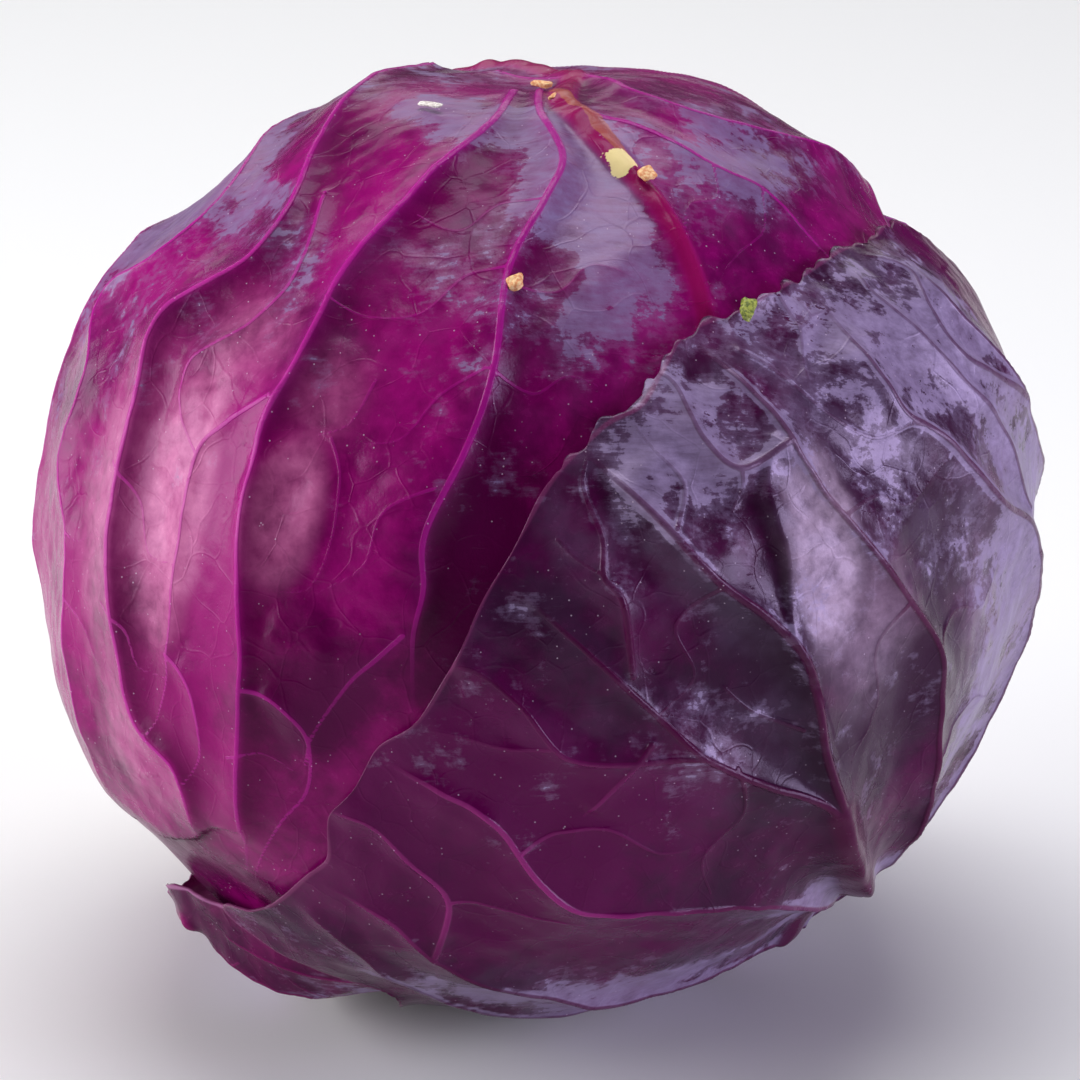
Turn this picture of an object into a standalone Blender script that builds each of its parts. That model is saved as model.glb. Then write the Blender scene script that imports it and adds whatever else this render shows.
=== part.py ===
"""A red cabbage head lying on its side, built as it grows: a short cut stem, outer leaves that wrap round
from the stem and lap over one another, and the tight heart inside them.

Every leaf is a thin closed shell. Its place is a height over one shared head shape, measured from the head's
centre, and each leaf is pushed in by the leaves that lie over it, so that no two of them meet.
Directions from the centre are written as (longitude, latitude) in degrees: longitude runs from the front,
-Y, towards the right, and latitude is up. Near the stem they are written as (heading, spread) instead:
the heading round the stem from straight up towards the left side, and the angle away from the stem.
"""

import math

import bpy
import numpy as np

MM = 0.001

# The head. Its outline is the one seen from the front and OUTLINE_TILT degrees above: the radius in
# millimetres every 15 degrees, from the right side round over the top.
OUTLINE_TILT = 20
OUTLINE_RADII = (
    (83.7, 84.6, 84.2, 81.2, 81.0, 81.2)
    + (79.0, 83.0, 81.5, 81.5, 85.2, 84.2)
    + (84.3, 84.5, 84.3, 84.5, 85.5, 82.0)
    + (80.2, 78.9, 78.0, 79.2, 79.8, 81.4)
)
DEPTH_RADIUS = 81  # along the line of sight, and FRONT_SWELL more at the front than there
FRONT_SWELL = 1
REST_HEIGHT = 76.5  # centre of the head over the surface: less than its radius, so the underside is flat
CENTRE_SHIFT = (0.3, 1.0)  # places the middle of the head's box on the world's Z axis

# The leaves
LEAF_THICKNESS = 0.9
LEAF_GAP = 1.4
COVER_FADE = 13  # degrees beyond a leaf's edge over which the leaf below rises to the head shape
LEAF_RINGS = 12
RIB_HEIGHT = 3.2  # the midrib at the stem, where it is thickest
RIB_HALF_WIDTH = 4.5

# The stem, along its own axis from the centre of the head
STEM_DIRECTION = (-150, -33)
STEM_INNER_END = 50
STEM_CUT = 88
STEM_INNER_RADIUS = 11
STEM_RADIUS = 14
STEM_CLEARANCE = 13  # degrees from the stem's axis to the nearest edge of any leaf
STEM_SIDES = 32

# The heart
HEART_SOCKET = 15.5  # degrees from the stem's axis to the wall of the hollow that holds the core
HEART_GAP = 0.5
HEART_SIDES = 36


def direction(longitude, latitude):
    """The unit vector of a place on the globe."""
    lon, lat = math.radians(longitude), math.radians(latitude)
    return np.array([math.sin(lon) * math.cos(lat), -math.cos(lon) * math.cos(lat), math.sin(lat)])


def tangent_frame(centre):
    """Two directions square to this one: towards the east and towards the north."""
    east = np.cross([0.0, 0.0, 1.0], centre)
    east /= np.linalg.norm(east)
    return east, np.cross(centre, east)


def spread_from(centre, reach, turn):
    """The directions that lie reach away from the centre, turn round it from the east (radians)."""
    east, north = tangent_frame(centre)
    reach, turn = np.asarray(reach)[..., None], np.asarray(turn)[..., None]
    sideways = np.cos(turn) * east + np.sin(turn) * north
    return np.cos(reach) * centre + np.sin(reach) * sideways


def measured_from(centre, dirs):
    """The reach and turn of each direction from a centre, in radians."""
    east, north = tangent_frame(centre)
    return np.arccos(np.clip(dirs @ centre, -1, 1)), np.arctan2(dirs @ north, dirs @ east)


def round_stem(heading, spread):
    """The direction at this heading round the stem, and this many degrees away from it."""
    turn = math.radians(90 - heading)
    return spread_from(direction(*STEM_DIRECTION), math.radians(spread), turn)


def smooth_loop(points, steps=8):
    """A smooth closed curve on the sphere through the points (Catmull-Rom)."""
    points = np.array(points)
    before, after, beyond = (np.roll(points, shift, axis=0) for shift in (1, -1, -2))
    curve = []
    for t in np.arange(steps) / steps:
        slope_in, slope_out = (after - before) / 2, (beyond - points) / 2
        curve.append(
            (2 * t**3 - 3 * t**2 + 1) * points
            + (t**3 - 2 * t**2 + t) * slope_in
            + (3 * t**2 - 2 * t**3) * after
            + (t**3 - t**2) * slope_out
        )
    curve = np.stack(curve, axis=1).reshape(-1, 3)
    return curve / np.linalg.norm(curve, axis=1, keepdims=True)


def smooth_step(x):
    x = np.clip(x, 0, 1)
    return x * x * (3 - 2 * x)


def head_radius(dirs):
    """Distance from the centre to the outside of the head in millimetres."""
    tilt = math.radians(OUTLINE_TILT)
    up = np.array([0, math.sin(tilt), math.cos(tilt)])
    towards = np.array([0, -math.cos(tilt), math.sin(tilt)])
    depth = dirs @ towards
    around = np.degrees(np.arctan2(dirs @ up, dirs[..., 0]))
    every = np.arange(len(OUTLINE_RADII)) * 360 / len(OUTLINE_RADII)
    outline = np.interp(around, every, OUTLINE_RADII, period=360)
    round_radius = DEPTH_RADIUS + FRONT_SWELL * depth
    return pressed_flat(round_radius * depth**2 + outline * (1 - depth**2), dirs)


def pressed_flat(radius, dirs):
    """The radius, cut short where it would pass through the surface that the head rests on."""
    least_down = 0.05  # keeps the division clear of the directions that never meet the surface
    return np.minimum(radius, REST_HEIGHT / np.maximum(-dirs[..., 2], least_down))


class Leaf:
    """A leaf's outline about its own centre, its midrib's heading round the stem, and its colour."""

    def __init__(self, name, centre, outline, rib_heading, rib_length, colour, spokes=32):
        self.name = name
        self.centre = direction(*centre)
        self.rib_heading = rib_heading
        self.rib_length = rib_length
        self.colour = colour
        self.spokes = spokes
        self.curve = smooth_loop(outline)
        reach, turn = measured_from(self.centre, self.curve)
        order = np.argsort(turn)
        self.turns, self.reaches = turn[order], reach[order]
        self.spoke_turns = self.evenly_along_edge()

    def evenly_along_edge(self):
        """Turns that part the leaf's edge into stretches of equal length."""
        turns = np.append(self.turns, self.turns[0] + 2 * math.pi)
        corners = spread_from(self.centre, np.append(self.reaches, self.reaches[0]), turns)
        lengths = np.linalg.norm(np.diff(corners, axis=0), axis=1)
        travelled = np.append(0, np.cumsum(lengths))
        return np.interp(np.arange(self.spokes) / self.spokes * travelled[-1], travelled, turns)

    def edge(self, turn):
        """How far the leaf reaches from its centre at this turn, in radians."""
        return np.interp(turn, self.turns, self.reaches, period=2 * math.pi)

    def cover(self, dirs):
        """1 where the leaf lies, falling to 0 over COVER_FADE beyond its edge."""
        reach, turn = measured_from(self.centre, dirs)
        beyond = np.arccos(np.clip(np.max(dirs @ self.curve.T, axis=-1), -1, 1))
        beyond[reach <= self.edge(turn)] = 0
        return smooth_step(1 - beyond / math.radians(COVER_FADE))

    def rib(self, dirs):
        """Height of the midrib, which thins out from the stem towards the tip."""
        stem = direction(*STEM_DIRECTION)
        along = np.degrees(np.arccos(np.clip(dirs @ stem, -1, 1)))
        side = np.cross(stem, round_stem(self.rib_heading, 90))
        ahead = dirs @ round_stem(self.rib_heading, 90) > 0
        across = np.abs(dirs @ side) * DEPTH_RADIUS
        thinning = np.clip(1 - along / self.rib_length, 0, 1)
        return RIB_HEIGHT * thinning * ahead * np.exp(-((across / RIB_HALF_WIDTH) ** 2))


def base_arc(first, last):
    """Where a leaf clasps the stem: points just clear of it, from one heading to the other."""
    return [round_stem(heading, STEM_CLEARANCE) for heading in np.linspace(first, last, 4)]


def globe(*places):
    return [direction(*place) for place in places]


def plain_leaf(name, heading, length, half_width, colour):
    """A leaf whose edge is hidden or plain: broad at the stem, widest half way and rounded at its tip."""
    plan = ((30, 0.95), (55, 1), (85, 1), (110, 0.95), (130, 0.8), (143, 0.45))
    stretch = length / 150
    rising = [round_stem(heading - half_width * wide, out * stretch) for out, wide in plan]
    falling = [round_stem(heading + half_width * wide, out * stretch) for out, wide in plan]
    outline = base_arc(heading + half_width, heading - half_width) + rising
    outline += [round_stem(heading, length)] + falling[::-1]
    middle = round_stem(heading, length / 2)
    centre = (math.degrees(math.atan2(middle[0], -middle[1])), math.degrees(math.asin(middle[2])))
    return Leaf(name, centre, outline, heading, length, colour)


def right_outer_leaf():
    upper_edge = globe((85, 44), (72, 46), (61, 47), (47, 46), (34, 44), (22, 42), (17, 38), (13, 34))
    left_edge = globe((8, 32), (2, 27), (-2, 21), (-6, 14), (-9, 7), (-13, 0), (-18, -4), (-21, -9))
    corner = globe((-24, -13), (-25, -19), (-29, -23), (-36, -29), (-48, -34), (-41, -39), (-33, -45))
    underside = globe((-27, -51), (-36, -60), (-66, -69), (-108, -66), (-128, -54))
    right_side = globe((150, -42), (128, -22), (115, 5), (100, 30))
    outline = upper_edge + left_edge + corner + underside + base_arc(160, 235) + right_side
    return Leaf("right_outer_leaf", (32, -38), outline, 198, 165, (0.045, 0.02, 0.055), spokes=60)


def lower_left_leaf():
    free_edge = globe((-66, -35), (-54, -42), (-35, -52), (-15, -62), (30, -76), (150, -74), (170, -58))
    upper_edge = globe((-118, -16), (-98, -26), (-80, -32))
    outline = free_edge + base_arc(195, 85) + upper_edge
    return Leaf("lower_left_leaf", (-105, -58), outline, 130, 75, (0.13, 0.06, 0.19))


def left_outer_leaf():
    under_right_leaf = globe((50, 36), (26, 34), (8, 22), (-2, 5), (-8, -10), (-16, -22), (-28, -32))
    lower_edge = globe((-46, -40), (-66, -38), (-80, -24), (-95, -10), (-107, 6), (-118, -3))
    top_edge = globe((-167, 11), (176, 38), (132, 50), (108, 46), (80, 38))
    outline = under_right_leaf + lower_edge + base_arc(50, -30) + top_edge
    return Leaf("left_outer_leaf", (-60, 55), outline, 10, 160, (0.16, 0.012, 0.11), spokes=56)


def outer_to_inner_leaves():
    return [
        right_outer_leaf(),
        lower_left_leaf(),
        left_outer_leaf(),
        plain_leaf("back_left_leaf", 62, 140, 50, (0.10, 0.05, 0.16)),
        plain_leaf("back_right_leaf", 275, 145, 55, (0.10, 0.02, 0.10)),
        plain_leaf("back_top_leaf", 330, 150, 50, (0.12, 0.03, 0.12)),
        plain_leaf("under_leaf", 155, 140, 52, (0.18, 0.02, 0.13)),
        plain_leaf("tip_leaf", 25, 168, 55, (0.20, 0.03, 0.15)),
    ]


def cover_depth(over, dirs):
    """How deep the leaves that lie over this one push it in."""
    depth = np.zeros(dirs.shape[:-1])
    for leaf in over:
        depth += (LEAF_THICKNESS + LEAF_GAP) * leaf.cover(dirs)
    return depth


def open_air(over, dirs):
    """1 where nothing lies over this leaf, 0 under another leaf and beside its edge."""
    free = np.ones(dirs.shape[:-1])
    for leaf in over:
        free = np.minimum(free, 1 - leaf.cover(dirs))
    return free


def leaf_mesh(leaf, over):
    """The shell: rings of points from its middle, nearly round, out to its edge, outside and again inside."""
    turns = leaf.spoke_turns
    steps = np.arange(1, LEAF_RINGS + 1)[:, None] / LEAF_RINGS
    ring_turns = np.broadcast_to(turns, (LEAF_RINGS, leaf.spokes))
    even_reach = leaf.edge(turns).mean()
    ring_reaches = steps * (even_reach + (leaf.edge(turns) - even_reach) * steps)
    ring_dirs = spread_from(leaf.centre, ring_reaches, ring_turns)
    dirs = np.concatenate([leaf.centre[None], ring_dirs.reshape(-1, 3)])
    radius = head_radius(dirs) - cover_depth(over, dirs)
    outside = dirs * pressed_flat(radius + leaf.rib(dirs) * open_air(over, dirs), dirs)[:, None]
    inside = dirs * (radius - LEAF_THICKNESS)[:, None]
    last_ring = 1 + (LEAF_RINGS - 1) * leaf.spokes
    faces = []
    for first, flip in ((0, False), (len(dirs), True)):
        for spoke in range(leaf.spokes):
            beside = (spoke + 1) % leaf.spokes
            skin = [(0, 1 + spoke, 1 + beside)]
            for ring in range(LEAF_RINGS - 1):
                near, far = 1 + ring * leaf.spokes, 1 + (ring + 1) * leaf.spokes
                skin.append((near + spoke, far + spoke, far + beside))
                skin.append((near + spoke, far + beside, near + beside))
            for corners in skin:
                corners = tuple(first + corner for corner in corners)
                faces.append(corners[::-1] if flip else corners)
    for spoke in range(leaf.spokes):
        near, beside = last_ring + spoke, last_ring + (spoke + 1) % leaf.spokes
        faces.append((near, near + len(dirs), beside + len(dirs), beside))
    return np.concatenate([outside, inside]), faces


def turned_about_stem(profile, sides):
    """A solid turned about the stem's axis: profile pairs of (along the axis, radius) between two poles."""
    axis = direction(*STEM_DIRECTION)
    east, north = tangent_frame(axis)
    angles = np.arange(sides) / sides * 2 * math.pi
    rim = np.cos(angles)[:, None] * east + np.sin(angles)[:, None] * north
    rings = [axis * along + rim * radius for along, radius in profile[1:-1]]
    points = [axis[None] * profile[0][0], *rings, axis[None] * profile[-1][0]]
    return np.concatenate(points), lathe_faces(len(rings), sides)


def lathe_faces(ring_count, sides):
    """Faces of rings between two poles, the first ring's pole first, for rings that run outwards."""
    end = 1 + ring_count * sides
    faces = []
    for side in range(sides):
        beside = (side + 1) % sides
        faces.append((0, 1 + beside, 1 + side))
        for ring in range(ring_count - 1):
            near, far = 1 + ring * sides, 1 + (ring + 1) * sides
            faces.append((near + side, near + beside, far + beside, far + side))
        last = 1 + (ring_count - 1) * sides
        faces.append((last + side, last + beside, end))
    return faces


def stem_mesh():
    """The core inside the head, a flare where the leaves join it, and the flat cut a little proud."""
    bevel = 1.2
    profile = [
        (STEM_INNER_END, 0),
        (STEM_INNER_END, STEM_INNER_RADIUS - bevel),
        (STEM_INNER_END + bevel, STEM_INNER_RADIUS),
        (STEM_CUT - 18, STEM_RADIUS - 1),
        (STEM_CUT - 9, STEM_RADIUS + 1),
        (STEM_CUT - bevel, STEM_RADIUS),
        (STEM_CUT, STEM_RADIUS - bevel),
        (STEM_CUT, 0),
    ]
    return turned_about_stem(profile, STEM_SIDES)


def heart_mesh(leaves):
    """The heart: what is left inside all the leaves, with a hollow for the core."""
    stem = direction(*STEM_DIRECTION)
    spreads = np.radians([8, HEART_SOCKET - 2, HEART_SOCKET, *range(24, 180, 9)])
    angles = np.arange(HEART_SIDES) / HEART_SIDES * 2 * math.pi
    rings = spread_from(stem, np.repeat(spreads, HEART_SIDES), np.tile(angles, len(spreads)))
    dirs = np.concatenate([stem[None], rings, -stem[None]])
    radius = head_radius(dirs) - cover_depth(leaves, dirs) - HEART_GAP
    inside_socket = np.degrees(np.arccos(np.clip(dirs @ stem, -1, 1))) < HEART_SOCKET - 1
    radius[inside_socket] = STEM_INNER_END - 1
    return dirs * radius[:, None], [face[::-1] for face in lathe_faces(len(spreads), HEART_SIDES)]


def skin_material(name, colour, roughness):
    material = bpy.data.materials.new(name)
    material.use_nodes = True
    shader = material.node_tree.nodes["Principled BSDF"]
    shader.inputs["Base Color"].default_value = (*colour, 1)
    shader.inputs["Roughness"].default_value = roughness
    shader.inputs["Metallic"].default_value = 0
    material.diffuse_color = (*colour, 1)
    return material


def add_object(name, points, faces, colour, roughness):
    mesh = bpy.data.meshes.new(name)
    mesh.from_pydata((points * MM).tolist(), [], [list(face) for face in faces])
    mesh.materials.append(skin_material(name + "_skin", colour, roughness))
    mesh.shade_smooth()
    mesh.set_sharp_from_angle(angle=math.radians(50))
    obj = bpy.data.objects.new(name, mesh)
    obj.location = (CENTRE_SHIFT[0] * MM, CENTRE_SHIFT[1] * MM, REST_HEIGHT * MM)
    bpy.context.scene.collection.objects.link(obj)


def build():
    for obj in list(bpy.data.objects):
        bpy.data.objects.remove(obj)
    leaves = outer_to_inner_leaves()
    for place, leaf in enumerate(leaves):
        points, faces = leaf_mesh(leaf, leaves[:place])
        add_object(leaf.name, points, faces, leaf.colour, 0.4)
    add_object("stem_stump", *stem_mesh(), (0.72, 0.62, 0.50), 0.6)
    add_object("heart", *heart_mesh(leaves), (0.25, 0.04, 0.2), 0.5)


build()
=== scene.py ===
"""The looks of a red cabbage head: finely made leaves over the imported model, their wax, and the cut stem.

Directions from the head's centre are (longitude, latitude) in degrees: longitude runs from the front, -Y,
towards the right, and latitude is up. Round the stem they are (heading, spread): the heading from straight
up towards the left side, and the angle away from the stem. Lengths are in millimetres until a mesh is made.
"""

import math

import bpy
import numpy as np
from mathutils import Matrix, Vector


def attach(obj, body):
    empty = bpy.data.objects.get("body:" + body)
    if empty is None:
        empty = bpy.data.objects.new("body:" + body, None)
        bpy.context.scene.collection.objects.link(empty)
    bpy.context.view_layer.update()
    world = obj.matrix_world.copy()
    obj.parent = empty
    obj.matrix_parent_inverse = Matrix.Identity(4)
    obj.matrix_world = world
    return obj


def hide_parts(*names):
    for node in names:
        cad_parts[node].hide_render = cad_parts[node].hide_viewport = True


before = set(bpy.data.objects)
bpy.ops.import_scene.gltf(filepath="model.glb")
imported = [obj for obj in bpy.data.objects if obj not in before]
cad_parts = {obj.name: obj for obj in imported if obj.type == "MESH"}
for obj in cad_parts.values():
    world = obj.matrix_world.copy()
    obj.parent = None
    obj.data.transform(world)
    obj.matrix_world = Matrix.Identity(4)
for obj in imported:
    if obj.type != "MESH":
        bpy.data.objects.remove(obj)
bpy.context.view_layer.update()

MM = 0.001

# The head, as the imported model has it
REST_HEIGHT = 76.5
CENTRE = np.array([0.3, 1.0, REST_HEIGHT])
OUTLINE_TILT = 20  # the outline is the one seen from this many degrees above the front
OUTLINE_RADII = (
    (83.7, 84.6, 84.2, 81.2, 81.0, 81.2)
    + (79.0, 83.0, 81.5, 81.5, 85.2, 84.2)
    + (84.3, 84.5, 84.3, 84.5, 85.5, 82.0)
    + (80.2, 78.9, 78.0, 79.2, 79.8, 81.4)
)
DEPTH_RADIUS = 81
FRONT_SWELL = 1
LEAF_THICKNESS = 0.9
LEAF_GAP = 1.4
COVER_FADE = 13  # degrees over which a covered leaf rises again beyond the edge of the one over it
STEM_DIRECTION = (-150, -33)
STEM_CLEARANCE = 9.6  # degrees from the stem's axis to the foot of a leaf
STEM_RADIUS = 14
STEM_CUT = 88
STEM_INNER_END = 50
PANEL_SAG = 1.9  # how far the leaf sinks between its ribs
DEEPEST_DIP = 2.7  # no part of a leaf's outside lies further in than this
UNDER_DIP = 1.4  # how much further in a covered leaf lies, to clear the dips of the one over it

COVERED_RELIEF = 0.1  # how much of its relief a leaf keeps where another lies over it
WELL_CLEAR = 9.0  # the distance given to points with no rib or edge near

# Detail of the leaf shells: (rings, spokes)
FINE_SHELL = (250, 1150)
PLAIN_SHELL = (110, 460)
INSIDE_RINGS = 16


# ---------------------------------------------------------------- directions

def direction(longitude, latitude):
    lon, lat = math.radians(longitude), math.radians(latitude)
    return np.array([math.sin(lon) * math.cos(lat), -math.cos(lon) * math.cos(lat), math.sin(lat)])


def globe(*places):
    return [direction(*place) for place in places]


def tangent_frame(centre):
    east = np.cross([0.0, 0.0, 1.0], centre)
    east /= np.linalg.norm(east)
    return east, np.cross(centre, east)


def spread_from(centre, reach, turn):
    """The directions that lie reach away from the centre, turn round it from the east (radians)."""
    east, north = tangent_frame(centre)
    reach, turn = np.asarray(reach)[..., None], np.asarray(turn)[..., None]
    sideways = np.cos(turn) * east + np.sin(turn) * north
    return np.cos(reach) * centre + np.sin(reach) * sideways


def measured_from(centre, dirs):
    east, north = tangent_frame(centre)
    return np.arccos(np.clip(dirs @ centre, -1, 1)), np.arctan2(dirs @ north, dirs @ east)


def round_stem(heading, spread):
    turn = math.radians(90 - heading)
    return spread_from(direction(*STEM_DIRECTION), math.radians(spread), turn)


def eased(before, here, after, beyond, t):
    """A share t of the way from here to after, on a smooth curve through all four."""
    slope_in, slope_out = (after - before) / 2, (beyond - here) / 2
    return (
        (2 * t**3 - 3 * t**2 + 1) * here
        + (t**3 - 2 * t**2 + t) * slope_in
        + (3 * t**2 - 2 * t**3) * after
        + (t**3 - t**2) * slope_out
    )


def smooth_curve(points, closed, steps):
    """A smooth curve on the sphere through the points."""
    points = np.array(points)
    if closed:
        before, after, beyond = (np.roll(points, shift, axis=0) for shift in (1, -1, -2))
        here = points
    else:
        padded = np.concatenate([points[:1], points, points[-1:]])
        before, here, after, beyond = padded[:-3], padded[1:-2], padded[2:-1], padded[3:]
    curve = [eased(before, here, after, beyond, t) for t in np.arange(steps) / steps]
    curve = np.stack(curve, axis=1).reshape(-1, 3)
    if not closed:
        curve = np.concatenate([curve, points[-1:]])
    return curve / np.linalg.norm(curve, axis=1, keepdims=True)


def smooth_step(x):
    x = np.clip(x, 0, 1)
    return x * x * (3 - 2 * x)


def wander(dirs, size, seed):
    """A smooth random swell from -1 to 1 whose hills are about this many millimetres apart."""
    rng = np.random.default_rng(seed)
    waves = 9
    total = np.zeros(dirs.shape[:-1])
    for _ in range(waves):
        across = rng.normal(size=3)
        across *= 2 * math.pi * DEPTH_RADIUS / size * rng.uniform(0.6, 1.3) / np.linalg.norm(across)
        total += np.sin(dirs @ across + rng.uniform(0, 2 * math.pi))
    return total / math.sqrt(waves)


# ---------------------------------------------------------------- the head and its leaves

def outline_radius(around):
    """The head's outline, smooth between its stated radii."""
    count = len(OUTLINE_RADII)
    place = (around / 360 * count) % count
    start = np.floor(place).astype(int)
    nearby = (np.take(OUTLINE_RADII, start + step, mode="wrap") for step in (-1, 0, 1, 2))
    return eased(*nearby, place - start)


def head_radius(dirs):
    """How far out the head's smooth surface lies: as outlined at the sides, rounder in front and behind."""
    tilt = math.radians(OUTLINE_TILT)
    up = np.array([0, math.sin(tilt), math.cos(tilt)])
    towards = np.array([0, -math.cos(tilt), math.sin(tilt)])
    depth = dirs @ towards
    around = np.degrees(np.arctan2(dirs @ up, dirs[..., 0]))
    round_radius = DEPTH_RADIUS + FRONT_SWELL * depth
    return round_radius * depth**2 + outline_radius(around) * (1 - depth**2)


def pressed_flat(radius, dirs):
    """The radius with the patch that the head rests on pressed flat."""
    least_down = 0.05
    return np.minimum(radius, REST_HEIGHT / np.maximum(-dirs[..., 2], least_down))


def nearest_on(curve, dirs, closed):
    """How far each direction is from a curve, whether on its left, and how far along in curve points."""
    closest = np.empty(len(dirs), dtype=int)
    points = curve.T.astype(np.float32)
    batch = 30000
    for start in range(0, len(dirs), batch):
        part = slice(start, start + batch)
        closest[part] = np.argmax(dirs[part].astype(np.float32) @ points, axis=1)
    if closed:
        step = (np.roll(curve, -1, axis=0) - np.roll(curve, 1, axis=0)) / 2
    else:
        step = np.gradient(curve, axis=0)
    length = np.linalg.norm(step, axis=1)
    tangent = step / length[:, None]
    offset = dirs - curve[closest]
    ahead = np.sum(offset * tangent[closest], axis=1)
    left = np.sum(offset * np.cross(curve, tangent)[closest], axis=1) > 0
    inner = np.full(len(dirs), True) if closed else (closest > 0) & (closest < len(curve) - 1)
    away = np.sqrt(np.maximum(np.sum(offset**2, axis=1) - np.where(inner, ahead**2, 0), 0))
    return away, left, closest + np.where(inner, ahead / length[closest], 0)


# Each kind of rib: half width, height, squareness, how far the leaf rises towards it, over what distance it
# does so on the rib's left and on its right, looking along it from its foot, and how strong its colour is
RIB_KINDS = {
    "midrib": (2.7, 1.4, 3, 1.8, 6.0, 6.0, 1.0),
    "fold": (0.6, 0.3, 2, 4.2, 3.2, 6.5, 0.85),
    "ridge": (0.5, 0.28, 2, 3.0, 5.0, 5.0, 0.85),
    "branch": (0.38, 0.2, 2, 1.8, 3.6, 3.6, 0.6),
    "thread": (0.26, 0.13, 2, 0.7, 2.4, 2.4, 0.35),
    "crease": (0.3, 0.0, 2, 3.0, 1.4, 14.0, 0.0),
}
MIDRIB_FLARE = 2.0  # how much wider a midrib gets where it joins the stem


class Leaf:
    """A leaf's outline round a centre, its ribs, and how finely its shell is made."""

    def __init__(self, name, slot, centre, outline, ribs, shell=PLAIN_SHELL, ragged=None, rib_height=1.0):
        self.rib_height = rib_height
        self.name = name
        self.slot = slot
        self.centre = direction(*centre)
        self.ribs = ribs
        self.rings, self.spokes = shell
        self.curve = smooth_curve(outline, True, 24)
        reach, turn = measured_from(self.centre, self.curve)
        if ragged is not None:
            reach = reach + ragged(self.curve)
        order = np.argsort(turn)
        self.turns, self.reaches = turn[order], reach[order]
        self.spoke_turns = self.evenly_along_edge()

    def edge(self, turn):
        return np.interp(turn, self.turns, self.reaches, period=2 * math.pi)

    def evenly_along_edge(self):
        turns = np.append(self.turns, self.turns[0] + 2 * math.pi)
        corners = spread_from(self.centre, np.append(self.reaches, self.reaches[0]), turns)
        travelled = np.append(0, np.cumsum(np.linalg.norm(np.diff(corners, axis=0), axis=1)))
        return np.interp(np.arange(self.spokes) / self.spokes * travelled[-1], travelled, turns)

    def beyond_edge(self, dirs):
        """Distance outside the leaf's edge in radians, negative inside it."""
        reach, turn = measured_from(self.centre, dirs)
        away = nearest_on(self.curve[::3], dirs, True)[0]
        return np.where(reach <= self.edge(turn), -away, away)

    def cover(self, dirs):
        return smooth_step(1 - np.maximum(self.beyond_edge(dirs), 0) / math.radians(COVER_FADE))


def near_rib(route, dirs, reach):
    """The points within reach of a rib: which they are, how far off, whether on its left, how far along."""
    curve = smooth_curve(route, False, 8)
    middle = curve.mean(axis=0)
    middle /= np.linalg.norm(middle)
    widest = np.arccos(np.clip(curve @ middle, -1, 1)).max() + reach / DEPTH_RADIUS
    chosen = np.flatnonzero(dirs @ middle > math.cos(min(widest, math.pi)))
    away, left, place = nearest_on(curve, dirs[chosen], False)
    close = away * DEPTH_RADIUS < reach
    travelled = np.clip(place[close] / (len(curve) - 1), 0, 1)
    return chosen[close], away[close] * DEPTH_RADIUS, left[close], travelled


def rib_relief(leaf, dirs):
    """The relief that a leaf's ribs give it, and what its skin needs to know of them at each point.

    These are how many half widths off the nearest rib is, how strong its colour is, how far the point lies
    on a midrib, and how deep in the shade beside a fold.
    """
    rise = np.zeros(len(dirs))
    crest = np.zeros(len(dirs))
    widths_off = np.full(len(dirs), WELL_CLEAR)
    on_midrib = np.zeros(len(dirs))
    painted_shade = np.zeros(len(dirs))
    strength = np.zeros(len(dirs))
    from_stem = np.degrees(np.arccos(np.clip(dirs @ direction(*STEM_DIRECTION), -1, 1)))
    flare = MIDRIB_FLARE * np.exp(-np.maximum(from_stem - STEM_CLEARANCE, 0) / 9)
    for kind, route in leaf.ribs:
        half_width, height, squareness, pull, left_spread, right_spread, colour = RIB_KINDS[kind]
        chosen, away, left, travelled = near_rib(route, dirs, 4 * max(left_spread, right_spread))
        is_midrib = kind == "midrib"
        taper = 1 - (0.3 if is_midrib else 0.5) * travelled
        fade_out = 1 if is_midrib else smooth_step((1 - travelled) * 6)
        width = half_width * leaf.rib_height**0.5 * taper * (1 + flare[chosen] * is_midrib)
        soft_away = np.sqrt(away**2 + 0.6**2) - 0.6
        spread = np.where(left, left_spread, right_spread)
        profile = np.exp(-((away / width) ** squareness))
        uneven = 0.75 + 0.35 * wander(dirs[chosen], 9, 15)
        height *= 1 if is_midrib else leaf.rib_height
        crest[chosen] = np.maximum(crest[chosen], height * taper * fade_out * profile * uneven)
        rise[chosen] += (pull * taper * fade_out * np.exp(-soft_away / spread)) ** 3
        if kind != "crease":
            widths_off[chosen] = np.minimum(widths_off[chosen], away / width)
        reach = colour * (1 - 0.4 * travelled) * fade_out * np.exp(-away / 5)
        strength[chosen] = np.maximum(strength[chosen], reach)
        if is_midrib:
            on_midrib[chosen] = np.exp(-((away / (1.05 * width)) ** 4))
        # painted shade: the skin is darkened on the steep side of a fold, out to about 7 mm
        if kind == "fold":
            shade = np.exp(-away / 7) * smooth_step(away / 1.2) * left * fade_out
            painted_shade[chosen] = np.maximum(painted_shade[chosen], shade)
    crown = 1 - 0.6 * swell(dirs, (-80, 80), 24, 1)
    relief = crest + (np.cbrt(rise) - PANEL_SAG) * crown * leaf.rib_height**0.4
    return relief, widths_off, strength, on_midrib, painted_shade


def swell(dirs, place, wide, height, tall=None, turn=0, sharp=1.5):
    """A smooth oval swelling: its place, half sizes in degrees and height in millimetres."""
    reach, around = measured_from(direction(*place), dirs)
    around = around - math.radians(turn)
    x = reach * np.cos(around) / math.radians(wide)
    y = reach * np.sin(around) / math.radians(tall or wide)
    return height * np.exp(-((x * x + y * y) ** sharp))


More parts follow.
